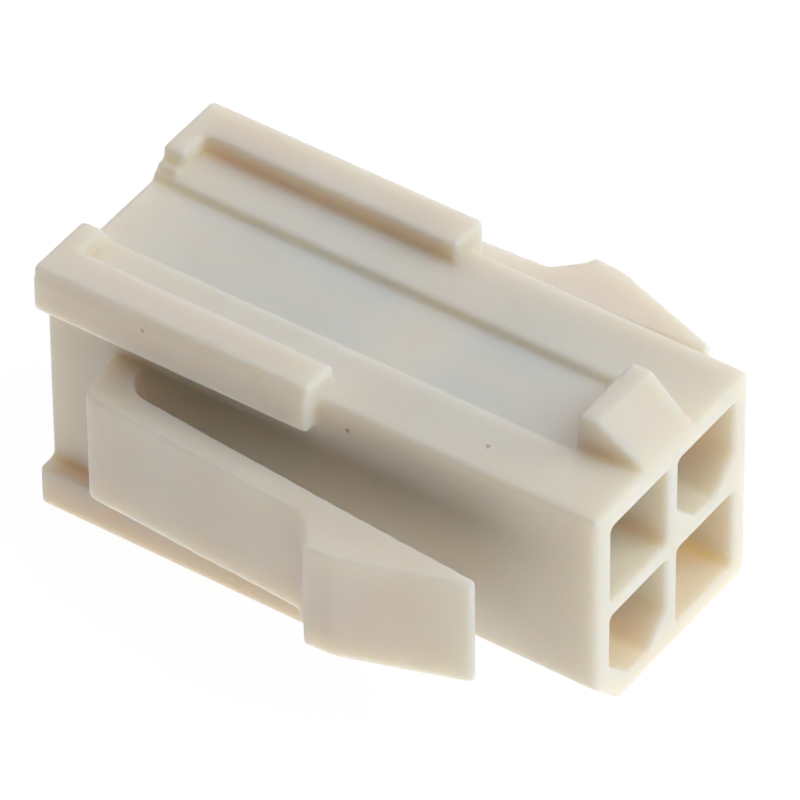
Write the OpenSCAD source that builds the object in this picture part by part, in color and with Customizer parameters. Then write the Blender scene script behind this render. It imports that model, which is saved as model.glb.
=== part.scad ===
// Four-circuit plug housing of a 4.2 mm pitch connector, with spring ears for a panel cut-out.
// The whole housing is one nylon moulding. The mating face looks towards -Y and the lock ramp is on top.
// Millimetres. The origin lies under the middle of the housing, on the surface that its lower rails rest on.

/* [Circuits] */
// Distance from one circuit to the next, across and up
pitch = 4.2; // [4.15:0.05:4.25]
// Width and height of a mating cell
cell_w = 3.55; // [3.4:0.05:3.7]
// Depth of a mating cell from the mating face
cell_depth = 9.4; // [8:0.1:10.4]
// Radius of a mating cell's corners
cell_r = 0.15; // [0.05:0.01:0.25]
// Bevel on the two lower corners of a keyed cell
cell_bevel = 1.2; // [0.9:0.05:1.3]
// Height of the middle of the cells above the middle of the body
cell_rise = 0.03; // [0:0.01:0.2]
// Width of the passage that holds a terminal, between its cell and its wire entry
passage_w = 2.7; // [2.4:0.1:3]
// Length of that passage
passage_l = 3; // [2:0.1:4]
// Width and height of a wire entry
entry_w = 3.45; // [3.3:0.05:3.6]

/* [Body] */
// Width of the body
body_w = 9.6; // [9.5:0.05:9.8]
// Height of the body
body_h = 9.5; // [9.4:0.05:9.8]
// Length of the body from the mating face to the wire end
body_l = 23.45; // [23:0.05:25]
// Radius of the edges round the mating face
rim_r = 0.3; // [0.2:0.05:0.45]
// Radius of the long edges
edge_r = 0.25; // [0.1:0.05:0.35]
// Radius of the upright edges at the wire end
wire_end_r = 0.3; // [0.1:0.05:0.3]
// Bevel along the front half of one lower edge, which keys the body to its panel
key_bevel = 1.66; // [1.2:0.02:1.9]
// Half width of the shallow channel along the top
channel_half_w = 1.85; // [1.85:0.01:2]
// Depth of the channel
channel_depth = 0.3; // [0.15:0.01:0.35]

/* [Lock ramp] */
// Distance of the middle of the ramp and of the channel from the middle of the body
ramp_shift = -0.1; // [-0.15:0.01:0.15]
// Distance from the mating face to the foot of the ramp's slope
ramp_front = 0.12; // [0.1:0.01:0.3]
// Distance from the mating face to the top of the slope
ramp_crest = 2.03; // [1.9:0.01:2.3]
// Distance from the mating face to the ramp's locking face
ramp_back = 2.86; // [2.7:0.01:3.3]
// Height of the ramp above the body
ramp_h = 1.46; // [1.3:0.01:1.7]
// Half width of the ramp's foot at its locking face
ramp_half_w = 1.82; // [1.75:0.01:1.85]
// How much narrower each side of the foot is at the front
ramp_taper = 0.3; // [0.1:0.05:0.4]
// How much narrower each side is at the top
ramp_draft = 0.08; // [0.05:0.01:0.3]
// Radius of the ramp's edges
ramp_r = 0.12; // [0.05:0.01:0.15]

/* [Panel rails] */
// Length of a rail, from the wire end to the face that stops against the panel
rail_l = 11.75; // [11.5:0.05:12.2]
// How far a rail stands out from the side of the body
rail_out = 0.71; // [0.55:0.01:0.8]
// How far an upper rail stands above the body
rail_up = 0.76; // [0.7:0.01:1]
// How far a lower rail stands below the body
rail_down = 1; // [0.8:0.01:1.1]
// How far a rail reaches over the top of the body, from the side of the body
rail_in = 1.03; // [0.8:0.01:1.2]
// How far an upper rail reaches down the side of the body
rail_lap = 1.25; // [0.8:0.01:1.4]
// How far a lower rail reaches up the side of the body
lower_lap = 0.79; // [0.6:0.01:1]
// Radius of a rail's long edges
rail_r = 0.15; // [0.05:0.01:0.16]
// Width of the ledge along the outer top edge of the left rail
ledge_w = 0.1; // [0.05:0.01:0.15]
// Drop from the top of the left rail to its ledge
ledge_drop = 0.33; // [0.3:0.01:0.45]
// How much lower the ledge runs behind the mould joint
ledge_jog = 0.08; // [0.02:0.01:0.1]
// Distance from the wire end to the mould joint
joint_y = 5.88; // [4:0.01:7]
// Length of the foot that turns inwards at the back of a rail, along the body
foot_l = 0.93; // [0.7:0.01:1]
// Half width left between the two feet
foot_half_gap = 2.4; // [2.35:0.01:2.5]
// Length of the slope on the inner end of the left foot
foot_slope = 0.56; // [0.4:0.01:0.6]
// Width of the small step at the bottom of the right foot
foot_step_w = 0.4; // [0.2:0.05:0.45]
// Height of that step
foot_step_h = 0.22; // [0.1:0.01:0.3]

/* [Spring ears] */
// Height of an ear at its root
ear_root_h = 4.98; // [4.8:0.01:5.1]
// Height of an ear from its shoulder to its tip
ear_h = 4.72; // [4.5:0.01:4.8]
// Distance from the middle of the body's height down to the middle of an ear
ear_drop = 0.06; // [0:0.01:0.15]
// Distance from the mating face to the back of the root at the body
ear_back = 20.45; // [20.2:0.05:20.8]
// How far the back of the root slopes forward on its way out
ear_back_slope = 0.29; // [0.2:0.01:0.4]
// Distance from the mating face to the closed end of the slot behind the arm
slot_end = 19.2; // [18.5:0.05:19.25]
// Width of the slot at its closed end
slot_w = 1.2; // [1.1:0.05:1.3]
// Width of the slot at the ear's tip
slot_mouth_w = 2.4; // [2.3:0.01:2.6]
// Radius of the slot's closed end
slot_r = 1.1; // [0.3:0.05:1.1]
// Thickness of the arm at its root
arm_t_root = 1.15; // [1:0.01:1.3]
// Thickness of the arm at the shoulder
arm_t = 1.17; // [1:0.01:1.3]
// Distance from the mating face to the shoulder that springs out behind the panel
shoulder_y = 10.48; // [10.2:0.01:10.8]
// Distance from the mating face to the back of the hook's land
land_back = 9.49; // [9.3:0.01:9.7]
// Distance from the mating face to the front of the hook's land
land_front = 8.05; // [7.9:0.01:8.4]
// How far the hook stands out from the side of the body
hook_out = 4.39; // [4.3:0.01:4.6]
// Distance from the mating face to the ear's tip
tip_y = 3.32; // [3.2:0.01:3.8]
// Thickness of the ear's tip
tip_t = 0.29; // [0.25:0.01:0.5]

/* [Hidden] */
$fn = 48;
bite = 0.3; // depth to which added features enter the body
past = 1; // length by which cutters run past the surface they cut
wall = body_w / 2;
cell_mid = body_h / 2 + cell_rise;
entry_y = cell_depth + passage_l;
rail_front = body_l - rail_l;
ear_mid = body_h / 2 - ear_drop;
corner_steps = 5; // flats in each rounded corner of an outline

// Unit vector from one point to another
function towards(a, b) = (b - a) / norm(b - a);

// Arc of radius r that is tangent to both sides of the corner b, between its neighbours a and c
function corner_arc(a, b, c, r) =
    let (
        u = towards(b, a),
        v = towards(b, c),
        half = acos(u * v) / 2,
        centre = b + (u + v) / norm(u + v) * r / sin(half),
        first = b + u * r / tan(half) - centre,
        last = b + v * r / tan(half) - centre,
        sweep = 180 - 2 * half
    )
    [for (i = [0:corner_steps])
        let (k = i / corner_steps)
        centre + (first * sin((1 - k) * sweep) + last * sin(k * sweep)) / sin(sweep)];

// Outline through corners given as [x, y, radius]
function rounded(corners) =
    let (n = len(corners), p = [for (c = corners) [c[0], c[1]]])
    [for (i = [0:n - 1])
        each corners[i][2] > 0
            ? corner_arc(p[(i + n - 1) % n], p[i], p[(i + 1) % n], corners[i][2])
            : [p[i]]];

// A cross-section, drawn as x and z, run from y0 to y1
module along(y0, y1) {
    translate([0, y1, 0])
        rotate([90, 0, 0])
            linear_extrude(y1 - y0)
                children();
}

// A side view, drawn as y and z, run from x0 to x1
module across(x0, x1) {
    translate([x0, 0, 0])
        rotate([90, 0, 90])
            linear_extrude(x1 - x0)
                children();
}

module mirrored_pair() {
    children();
    mirror([1, 0, 0]) children();
}

// ---- body ----

// Box with round long edges and a round rim at its mating face
module body_block() {
    intersection() {
        along(0, body_l)
            polygon(rounded([
                [-wall, 0, edge_r],
                [wall, 0, edge_r],
                [wall, body_h, edge_r],
                [-wall, body_h, edge_r]
            ]));
        across(-wall, wall)
            polygon(rounded([
                [0, 0, rim_r],
                [body_l, 0, 0],
                [body_l, body_h, 0],
                [0, body_h, rim_r]
            ]));
        linear_extrude(body_h)
            polygon(rounded([
                [-wall, 0, rim_r],
                [wall, 0, rim_r],
                [wall, body_l, wire_end_r],
                [-wall, body_l, wire_end_r]
            ]));
    }
}

// Cutter for the keying bevel
module key_cut() {
    along(-past, rail_front)
        polygon([
            [-wall - past, -past],
            [-wall - past, key_bevel + past],
            [-wall + key_bevel + past, -past]
        ]);
}

// Cutter for the channel behind the lock ramp
module channel_cut() {
    translate([ramp_shift - channel_half_w, ramp_back, body_h - channel_depth])
        cube([2 * channel_half_w, body_l, channel_depth + past]);
}

// ---- circuits ----

module cell_outline(keyed) {
    h = cell_w / 2;
    b = keyed ? cell_bevel : 0;
    polygon(rounded(keyed
        ? [[-h, b - h, cell_r], [b - h, -h, cell_r], [h - b, -h, cell_r], [h, b - h, cell_r], [h, h, cell_r],
           [-h, h, cell_r]]
        : [[-h, -h, cell_r], [h, -h, cell_r], [h, h, cell_r], [-h, h, cell_r]]));
}

// Cutter for one circuit: mating cell, terminal passage and wire entry
module circuit_cut(keyed) {
    along(-past, cell_depth)
        cell_outline(keyed);
    translate([-passage_w / 2, cell_depth, -passage_w / 2])
        cube([passage_w, body_l, passage_w]);
    translate([-entry_w / 2, entry_y, -entry_w / 2])
        cube([entry_w, body_l, entry_w]);
}

// The upper right and the lower left circuit are keyed
module circuit_cuts() {
    for (column = [0, 1], row = [0, 1])
        translate([(column - 0.5) * pitch, 0, cell_mid + (row - 0.5) * pitch])
            circuit_cut(column == row);
}

// ---- lock ramp ----

// Slope that the latch of the mating half rides up, ending in a square locking face
module lock_ramp() {
    top = body_h + ramp_h;
    root = body_h - channel_depth - bite;
    front_half_w = ramp_half_w - ramp_taper;
    drafted = ramp_draft * (top - root) / ramp_h;
    intersection() {
        across(-ramp_half_w, ramp_half_w)
            polygon(rounded([
                [ramp_front, body_h, 0],
                [ramp_crest, top, ramp_r],
                [ramp_back, top, ramp_r],
                [ramp_back, root, 0],
                [ramp_front, root, 0]
            ]));
        translate([0, 0, root])
            linear_extrude(top)
                polygon([
                    [-front_half_w, ramp_front],
                    [front_half_w, ramp_front],
                    [ramp_half_w, ramp_back],
                    [-ramp_half_w, ramp_back]
                ]);
        along(ramp_front, ramp_back)
            polygon(rounded([
                [-ramp_half_w + drafted, top, ramp_r],
                [ramp_half_w - drafted, top, ramp_r],
                [ramp_half_w, root, 0],
                [-ramp_half_w, root, 0]
            ]));
    }
}

// ---- panel rails ----

// Section of an upper rail on the right, wrapped round the corner of the body
module upper_rail_section() {
    outer = wall + rail_out;
    top = body_h + rail_up;
    polygon(rounded([
        [wall - rail_in, body_h - bite, 0],
        [wall - rail_in, top, rail_r],
        [outer, top, rail_r],
        [outer, body_h - rail_lap, rail_r],
        [wall - bite, body_h - rail_lap, 0],
        [wall - bite, body_h - bite, 0]
    ]));
}

// Section of a lower rail on the right
module lower_rail_section() {
    outer = wall + rail_out;
    polygon(rounded([
        [wall - rail_in, bite, 0],
        [wall - bite, bite, 0],
        [wall - bite, lower_lap, 0],
        [outer, lower_lap, rail_r],
        [outer, -rail_down, rail_r],
        [wall - rail_in, -rail_down, rail_r]
    ]));
}

module upper_rail() {
    along(rail_front, body_l)
        upper_rail_section();
}

// Cutter for the ledge along the left rail, which drops a little where two parts of the mould meet
module ledge_cut() {
    joint = body_l - joint_y;
    ledge = body_h + rail_up - ledge_drop;
    translate([-wall - rail_out - past, rail_front - past, ledge])
        cube([past + ledge_w, rail_l + 2 * past, ledge_drop + past]);
    translate([-wall - rail_out - past, joint, ledge - ledge_jog])
        cube([past + ledge_w, joint_y + past, ledge_jog + past]);
}

module lower_rail() {
    along(rail_front, body_l)
        lower_rail_section();
}

module rails() {
    upper_rail();
    lower_rail();
    mirror([1, 0, 0]) lower_rail();
    difference() {
        mirror([1, 0, 0]) upper_rail();
        ledge_cut();
    }
}

// Foot turned inwards at the back of a right-hand rail. end is the outline of its inner end, given
// as distance from the middle and height above the face it stands on.
module foot(height, end) {
    outer = wall - rail_in + bite;
    along(body_l - foot_l, body_l)
        polygon(rounded(concat(
            [[outer, -bite, 0], [outer, height, 0]],
            end
        )));
}

function square_end(height) = [
    [foot_half_gap, height, rail_r],
    [foot_half_gap, -bite, 0]
];

function sloped_end(height) = [
    [foot_half_gap, height, rail_r],
    [foot_half_gap, foot_slope, 0],
    [foot_half_gap - foot_slope, 0, 0],
    [foot_half_gap - foot_slope, -bite, 0]
];

function stepped_end(height) = [
    [foot_half_gap, height, rail_r],
    [foot_half_gap, foot_step_h, 0],
    [foot_half_gap - foot_step_w, foot_step_h, foot_step_h / 3],
    [foot_half_gap - foot_step_w, -bite, 0]
];

module feet() {
    translate([0, 0, body_h]) {
        foot(rail_up, stepped_end(rail_up));
        mirror([1, 0, 0]) foot(rail_up, sloped_end(rail_up));
    }
    mirrored_pair()
        mirror([0, 0, 1]) foot(rail_down, square_end(rail_down));
}

// ---- spring ears ----

// Right-hand ear seen from above: root, arm, hook with its shoulder and land, and the long lead-in slope
module ear_outline() {
    hook_x = wall + hook_out;
    arm_x = wall + slot_w + (slot_mouth_w - slot_w) * (slot_end - shoulder_y) / (slot_end - tip_y) + arm_t;
    root_x = wall + slot_w + arm_t_root;
    tip_x = wall + slot_mouth_w;
    shoulder_run = shoulder_y - land_back;
    lip = hook_x - arm_x - shoulder_run;
    polygon(rounded([
        [wall - bite, ear_back, 0],
        [wall - bite, slot_end, 0],
        [wall, slot_end, 0],
        [wall + slot_w, slot_end, slot_r],
        [tip_x, tip_y + tip_t / 4, 0.05],
        [tip_x + tip_t, tip_y, 0.1],
        [hook_x - 0.1, land_front, 0.3],
        [hook_x, land_back - lip / 3, 0.06],
        [hook_x - lip, land_back, 0],
        [arm_x, shoulder_y, 0.3],
        [root_x, ear_back - ear_back_slope, 0.45],
        [wall, ear_back, 0]
    ]));
}

// Side view of an ear: its root is a little taller than its arm
module ear_side() {
    root = ear_root_h / 2;
    arm = ear_h / 2;
    polygon([
        [0, -arm],
        [shoulder_y, -arm],
        [ear_back, -root],
        [ear_back, root],
        [shoulder_y, arm],
        [0, arm]
    ]);
}

module ear() {
    intersection() {
        linear_extrude(body_h)
            ear_outline();
        translate([0, 0, ear_mid])
            across(0, wall + hook_out)
                ear_side();
    }
}

// ---- the moulding ----

module housing() {
    color([0.93, 0.91, 0.87])
        translate([0, -body_l / 2, rail_down])
            difference() {
                union() {
                    difference() {
                        body_block();
                        key_cut();
                        channel_cut();
                    }
                    translate([ramp_shift, 0, 0]) lock_ramp();
                    rails();
                    feet();
                    mirrored_pair() ear();
                }
                circuit_cuts();
            }
}

housing();
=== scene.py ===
import math

import bpy
import numpy as np
import openvdb
from mathutils import Matrix, Vector


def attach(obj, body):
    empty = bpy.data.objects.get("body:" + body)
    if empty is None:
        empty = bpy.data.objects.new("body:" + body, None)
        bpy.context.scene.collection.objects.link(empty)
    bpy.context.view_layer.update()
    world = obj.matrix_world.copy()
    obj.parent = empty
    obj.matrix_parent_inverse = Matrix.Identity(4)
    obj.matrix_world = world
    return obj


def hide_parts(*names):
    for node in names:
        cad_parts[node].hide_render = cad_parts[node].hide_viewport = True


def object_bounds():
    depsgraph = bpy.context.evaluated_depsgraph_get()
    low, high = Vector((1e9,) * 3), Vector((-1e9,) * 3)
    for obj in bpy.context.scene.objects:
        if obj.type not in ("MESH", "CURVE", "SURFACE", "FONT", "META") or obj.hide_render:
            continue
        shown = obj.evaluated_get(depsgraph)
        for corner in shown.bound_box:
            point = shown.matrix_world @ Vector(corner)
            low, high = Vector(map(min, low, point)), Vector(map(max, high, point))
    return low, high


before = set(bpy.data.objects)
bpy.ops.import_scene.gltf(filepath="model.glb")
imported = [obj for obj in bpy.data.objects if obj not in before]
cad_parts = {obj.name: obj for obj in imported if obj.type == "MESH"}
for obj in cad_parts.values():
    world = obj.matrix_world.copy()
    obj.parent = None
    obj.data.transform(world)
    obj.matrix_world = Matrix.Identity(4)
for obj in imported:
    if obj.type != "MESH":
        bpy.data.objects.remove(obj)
CAD_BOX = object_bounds()
LOW, HIGH = Vector(CAD_BOX[0]), Vector(CAD_BOX[1])
MM = 0.001

# Places on the moulding, in millimetres: its mating face, the body's underside and the middle of the body
FRONT = LOW.y / MM
RAIL_DOWN = 1.0
BODY_H = 9.5
MIDDLE = RAIL_DOWN + BODY_H / 2

# Edge radii that the mould leaves, and the fineness of the mesh that shows them, in millimetres
CONVEX_R = 0.07
CONCAVE_R = 0.06
VOXEL = 0.07
TRIANGLES = 180000

# Smoothing after that. The block that holds the cells' mouths keeps its edges, and the ears get more of it
# from one distance off the middle to another.
SMOOTHING = 0.6
ROUNDS = 3
EAR_ROUNDS = 2
MOUTHS_HALF_W = 4.35
MOUTHS_HALF_H = 4.4
MOUTHS_DEPTH = 0.8
EAR_FROM = 5.7
EAR_FULL = 6.1

# Natural nylon, slightly cloudy
IVORY = (0.82, 0.75, 0.655, 1)
WARM_IVORY = (0.80, 0.725, 0.625, 1)
SPECK_BROWN = (0.16, 0.13, 0.10, 1)

# Dark specks in the moulding: x, distance from the mating face, height above the body's underside, radius,
# strength
SPECKS = [
    (-5.51, 18.66, 9.64, 0.13, 0.5),
    (-4.80, 10.43, 8.60, 0.14, 0.62),
    (-3.56, 5.36, 9.53, 0.14, 0.5),
    (5.13, 11.71, 8.87, 0.10, 0.4),
]

# The floor: a pale sheet that glows like a light table and looks nearly white to the camera
FLOOR_HALF = 2.0
FLOOR_GAP = 0.00002
FLOOR_PALE = (0.9, 0.9, 0.9, 1)
FLOOR_GLOW = 0.54
FLOOR_WHITE = 0.9

# Square lamps: direction from the object, watts, colour
LAMP_DISTANCE = 0.5
LAMP_SIZE = 0.5
LAMPS = {
    "key": ((0.3, -0.7, 0.6), 1.8, (0.92, 1.0, 1.0)),
    "overhead": ((0.0, -0.2, 1.0), 0.7, (1.0, 0.95, 1.0)),
    "rear": ((0.5, 0.5, 0.7), 0.9, (1.0, 0.95, 1.0)),
}

# The camera: degrees, and millimetres from the point it looks at. That point lies behind the mating face and
# above the body's underside, and is moved a little across the picture to frame the object.
AZIMUTH, ELEVATION, ROLL = -55.1398, 42.0492, -0.4754
DISTANCE = 355.3
AIM_BEHIND, AIM_ABOVE = 10.0, 5.0
AIM_RIGHT, AIM_UP = -1.2771, 1.2343
LENS = 453.6
SENSOR = 36.0


# ---- the moulding, with the soft edges that a moulded part has ----

def level_set(points, triangles, quads, reach):
    return openvdb.FloatGrid.createLevelSetFromPolygons(
        points,
        triangles=triangles,
        quads=quads,
        transform=openvdb.createLinearTransform(VOXEL),
        halfWidth=reach / VOXEL + 3,
    )


def soften(points, triangles):
    """The surface with its convex edges rounded to one radius and its concave edges to another."""
    quads = None
    for offset in (-CONVEX_R, CONVEX_R + CONCAVE_R, -CONCAVE_R):
        grid = level_set(points, triangles, quads, abs(offset))
        points, triangles, quads = grid.convertToPolygons(isovalue=offset)
        if not len(triangles):
            triangles = None
    return points, triangles, quads


def smooth(points, edges, weight, rounds):
    """Moves each point towards the middle of its neighbours, as far as its weight says."""
    a, b = edges[:, 0], edges[:, 1]
    count = np.bincount(a, minlength=len(points)) + np.bincount(b, minlength=len(points))
    for _ in range(rounds):
        total = np.empty_like(points)
        for k in range(3):
            total[:, k] = (np.bincount(a, points[b, k], len(points))
                           + np.bincount(b, points[a, k], len(points)))
        points = points + weight[:, None] * (total / count[:, None] - points)
    return points


def ramp(value, low, high):
    return np.clip((value - low) / (high - low), 0, 1)


def signed_volume(points, quads):
    """Above zero where the quads face outwards. Its size is of no use."""
    a, b, c, d = (points[quads[:, k]] for k in range(4))
    return np.einsum("ij,ij->i", a, np.cross(b, c) + np.cross(c, d)).sum()


def node_surface():
    """Points in millimetres and triangles of the housing in the frame."""
    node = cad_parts["housing"]
    mesh = node.data
    mesh.calc_loop_triangles()
    points = np.empty(len(mesh.vertices) * 3, np.float32)
    mesh.vertices.foreach_get("co", points)
    triangles = np.empty(len(mesh.loop_triangles) * 3, np.uint32)
    mesh.loop_triangles.foreach_get("vertices", triangles)
    world = np.array(node.matrix_world, np.float32)
    points = points.reshape(-1, 3) @ world[:3, :3].T + world[:3, 3]
    return (points / MM).astype(np.float32), triangles.reshape(-1, 3)


def moulding():
    points, triangles, quads = soften(*node_surface())
    points = points.astype(np.float64)
    faces = [tuple(f) for f in quads.tolist()]
    if triangles is not None:
        faces += [tuple(f) for f in triangles.tolist()]

    shell = bpy.data.meshes.new("housing_moulding")
    shell.from_pydata([(0, 0, 0)] * len(points), [], faces)
    edges = np.empty(len(shell.edges) * 2, np.int64)
    shell.edges.foreach_get("vertices", edges)
    edges = edges.reshape(-1, 2)

    x, y, z = np.abs(points[:, 0]), points[:, 1], points[:, 2]
    mouths = (x < MOUTHS_HALF_W) & (np.abs(z - MIDDLE) < MOUTHS_HALF_H) & (y < FRONT + MOUTHS_DEPTH)
    points = smooth(points, edges, np.where(mouths, 0.0, SMOOTHING), ROUNDS)
    points = smooth(points, edges, SMOOTHING * ramp(x, EAR_FROM, EAR_FULL), EAR_ROUNDS)

    shell.vertices.foreach_set("co", (points * MM).astype(np.float32).ravel())
    shell.update()
    if signed_volume(points, quads) < 0:
        shell.flip_normals()
    piece = bpy.data.objects.new("housing_moulding", shell)
    bpy.context.scene.collection.objects.link(piece)
    thin_out(piece)
    piece.data.polygons.foreach_set("use_smooth", [True] * len(piece.data.polygons))
    return piece


def thin_out(piece):
    """Drops the triangles that flat faces don't need."""
    now = sum(len(p.vertices) - 2 for p in piece.data.polygons)
    cut = piece.modifiers.new("thin_out", "DECIMATE")
    cut.ratio = min(1.0, TRIANGLES / now)
    depsgraph = bpy.context.evaluated_depsgraph_get()
    done = bpy.data.meshes.new_from_object(piece.evaluated_get(depsgraph))
    piece.modifiers.clear()
    old = piece.data
    piece.data = done
    bpy.data.meshes.remove(old)
    done.name = "housing_moulding"


# ---- shader nodes ----

class Nodes:
    """A node tree. What is set on an input is a number, a colour, a vector or another node's output."""

    def __init__(self, tree):
        self.tree = tree

    def set(self, node, socket, value):
        if isinstance(value, bpy.types.NodeSocket):
            self.tree.links.new(value, node.inputs[socket])
        else:
            node.inputs[socket].default_value = value

    def add(self, kind, values=(), **settings):
        node = self.tree.nodes.new(kind)
        for name, value in settings.items():
            setattr(node, name, value)
        for socket, value in values:
            self.set(node, socket, value)
        return node

    def math(self, operation, *values):
        return self.add("ShaderNodeMath", enumerate(values), operation=operation).outputs[0]

    def noise(self, place, scale, detail, roughness):
        values = [("Vector", place), ("Scale", scale), ("Detail", detail), ("Roughness", roughness)]
        return self.add("ShaderNodeTexNoise", values).outputs["Fac"]

    def span(self, value, low, high, to_low=0.0, to_high=1.0):
        values = [("Value", value), ("From Min", low), ("From Max", high),
                  ("To Min", to_low), ("To Max", to_high)]
        return self.add("ShaderNodeMapRange", values, interpolation_type="SMOOTHSTEP").outputs["Result"]

    def mix(self, factor, a, b):
        """Mixes two colours. A Mix node keeps its colour sockets after those for other kinds of value."""
        return self.add("ShaderNodeMix", [(0, factor), (6, a), (7, b)], data_type="RGBA").outputs[2]

    def spot(self, place, centre, radius, ragged):
        """1 in a small irregular spot round a point given in millimetres, 0 outside it."""
        away = self.add("ShaderNodeVectorMath", [(0, place), (1, Vector(centre) * MM)],
                        operation="DISTANCE").outputs["Value"]
        wobble = self.math("MULTIPLY", self.math("SUBTRACT", ragged, 0.5), radius * MM * 1.6)
        return self.span(self.math("ADD", away, wobble), radius * MM * 0.35, radius * MM, 1.0, 0.0)


def nylon():
    material = bpy.data.materials.new("natural_nylon")
    material.use_nodes = True
    n = Nodes(material.node_tree)
    place = n.add("ShaderNodeNewGeometry").outputs["Position"]

    cloud = n.span(n.noise(place, 260.0, 3.0, 0.55), 0.35, 0.65)
    colour = n.mix(cloud, IVORY, WARM_IVORY)
    ragged = n.noise(place, 9000.0, 2.0, 0.6)
    for x, y, z, radius, strength in SPECKS:
        spot = n.spot(place, (x, FRONT + y, RAIL_DOWN + z), radius, ragged)
        colour = n.mix(n.math("MULTIPLY", spot, strength), colour, SPECK_BROWN)

    grain = n.noise(place, 14000.0, 3.0, 0.6)
    swell = n.noise(place, 900.0, 2.0, 0.5)
    height = n.math("ADD", n.math("MULTIPLY", grain, 0.25), swell)
    bump = n.add("ShaderNodeBump", [("Strength", 0.06), ("Distance", 0.00004), ("Height", height)])

    shader = n.tree.nodes["Principled BSDF"]
    for socket, value in (
        ("Base Color", colour),
        ("Roughness", n.span(swell, 0.3, 0.7, 0.42, 0.52)),
        ("Normal", bump.outputs["Normal"]),
        ("IOR", 1.5),
        ("Specular IOR Level", 0.35),
        ("Subsurface Weight", 1.0),
        ("Subsurface Radius", (1.0, 0.75, 0.5)),
        ("Subsurface Scale", 0.0022),
    ):
        n.set(shader, socket, value)
    return material


# ---- stage ----

def floor():
    mesh = bpy.data.meshes.new("floor")
    z = LOW.z - FLOOR_GAP
    corners = [(-1, -1), (1, -1), (1, 1), (-1, 1)]
    mesh.from_pydata([(x * FLOOR_HALF, y * FLOOR_HALF, z) for x, y in corners], [], [(0, 1, 2, 3)])
    obj = bpy.data.objects.new("floor", mesh)
    bpy.context.scene.collection.objects.link(obj)
    mesh.materials.append(floor_material())


def floor_material():
    material = bpy.data.materials.new("floor_white")
    material.use_nodes = True
    n = Nodes(material.node_tree)
    plain = n.tree.nodes["Principled BSDF"]
    n.set(plain, "Base Color", FLOOR_PALE)
    n.set(plain, "Roughness", 0.9)
    n.set(plain, "Specular IOR Level", 0.1)
    glow = n.add("ShaderNodeEmission", [("Strength", FLOOR_GLOW)])
    lit = n.add("ShaderNodeAddShader", [(0, plain.outputs[0]), (1, glow.outputs[0])])
    white = n.add("ShaderNodeEmission", [("Strength", 1.0)])
    path = n.add("ShaderNodeLightPath")
    seen = n.math("MAXIMUM", path.outputs["Is Camera Ray"], path.outputs["Is Glossy Ray"])
    share = n.math("MULTIPLY", seen, FLOOR_WHITE)
    mix = n.add("ShaderNodeMixShader", [(0, share), (1, lit.outputs[0]), (2, white.outputs[0])])
    n.set(n.tree.nodes["Material Output"], 0, mix.outputs[0])
    return material


def backdrop():
    """A world that the camera sees as white, and that gives the object no light."""
    studio = bpy.data.worlds.new("studio")
    bpy.context.scene.world = studio
    studio.use_nodes = True
    n = Nodes(studio.node_tree)
    dark = n.tree.nodes["Background"]
    n.set(dark, "Color", (1, 1, 1, 1))
    n.set(dark, "Strength", 0.0)
    white = n.add("ShaderNodeBackground", [("Color", (1, 1, 1, 1)), ("Strength", 1.0)])
    path = n.add("ShaderNodeLightPath")
    mix = n.add("ShaderNodeMixShader", [
        (0, path.outputs["Is Camera Ray"]), (1, dark.outputs[0]), (2, white.outputs[0]),
    ])
    n.set(n.tree.nodes["World Output"], 0, mix.outputs[0])


def lamp(name, direction, watts, colour):
    """Square lamp that looks at the middle of the object from a direction."""
    data = bpy.data.lights.new(name, "AREA")
    data.shape = "SQUARE"
    data.size = LAMP_SIZE
    data.energy = watts
    data.color = colour
    obj = bpy.data.objects.new(name, data)
    way = Vector(direction).normalized()
    obj.location = (LOW + HIGH) / 2 + way * LAMP_DISTANCE
    obj.rotation_euler = way.to_track_quat("Z", "Y").to_euler()
    bpy.context.scene.collection.objects.link(obj)


def camera():
    azimuth, elevation, roll = (math.radians(v) for v in (AZIMUTH, ELEVATION, ROLL))
    back = Vector((
        math.sin(azimuth) * math.cos(elevation),
        -math.cos(azimuth) * math.cos(elevation),
        math.sin(elevation),
    ))
    right = Vector((0, 0, 1)).cross(back).normalized()
    up = back.cross(right)
    right, up = (
        right * math.cos(roll) + up * math.sin(roll),
        up * math.cos(roll) - right * math.sin(roll),
    )
    aim = Vector((0, FRONT + AIM_BEHIND, RAIL_DOWN + AIM_ABOVE)) + AIM_RIGHT * right + AIM_UP * up
    place = (aim + DISTANCE * back) * MM
    data = bpy.data.cameras.new("camera")
    data.sensor_width = SENSOR
    data.lens = LENS
    data.clip_start = 0.01
    data.clip_end = 20.0
    obj = bpy.data.objects.new("camera", data)
    obj.matrix_world = Matrix((
        (right.x, up.x, back.x, place.x),
        (right.y, up.y, back.y, place.y),
        (right.z, up.z, back.z, place.z),
        (0, 0, 0, 1),
    ))
    bpy.context.scene.collection.objects.link(obj)
    bpy.context.scene.camera = obj


camera()
floor()
backdrop()
for name, (direction, watts, colour) in LAMPS.items():
    lamp(name, direction, watts, colour)

piece = moulding()
piece.data.materials.clear()
piece.data.materials.append(nylon())
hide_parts("housing")
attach(piece, "root")

bpy.context.scene.view_settings.view_transform = "Standard"
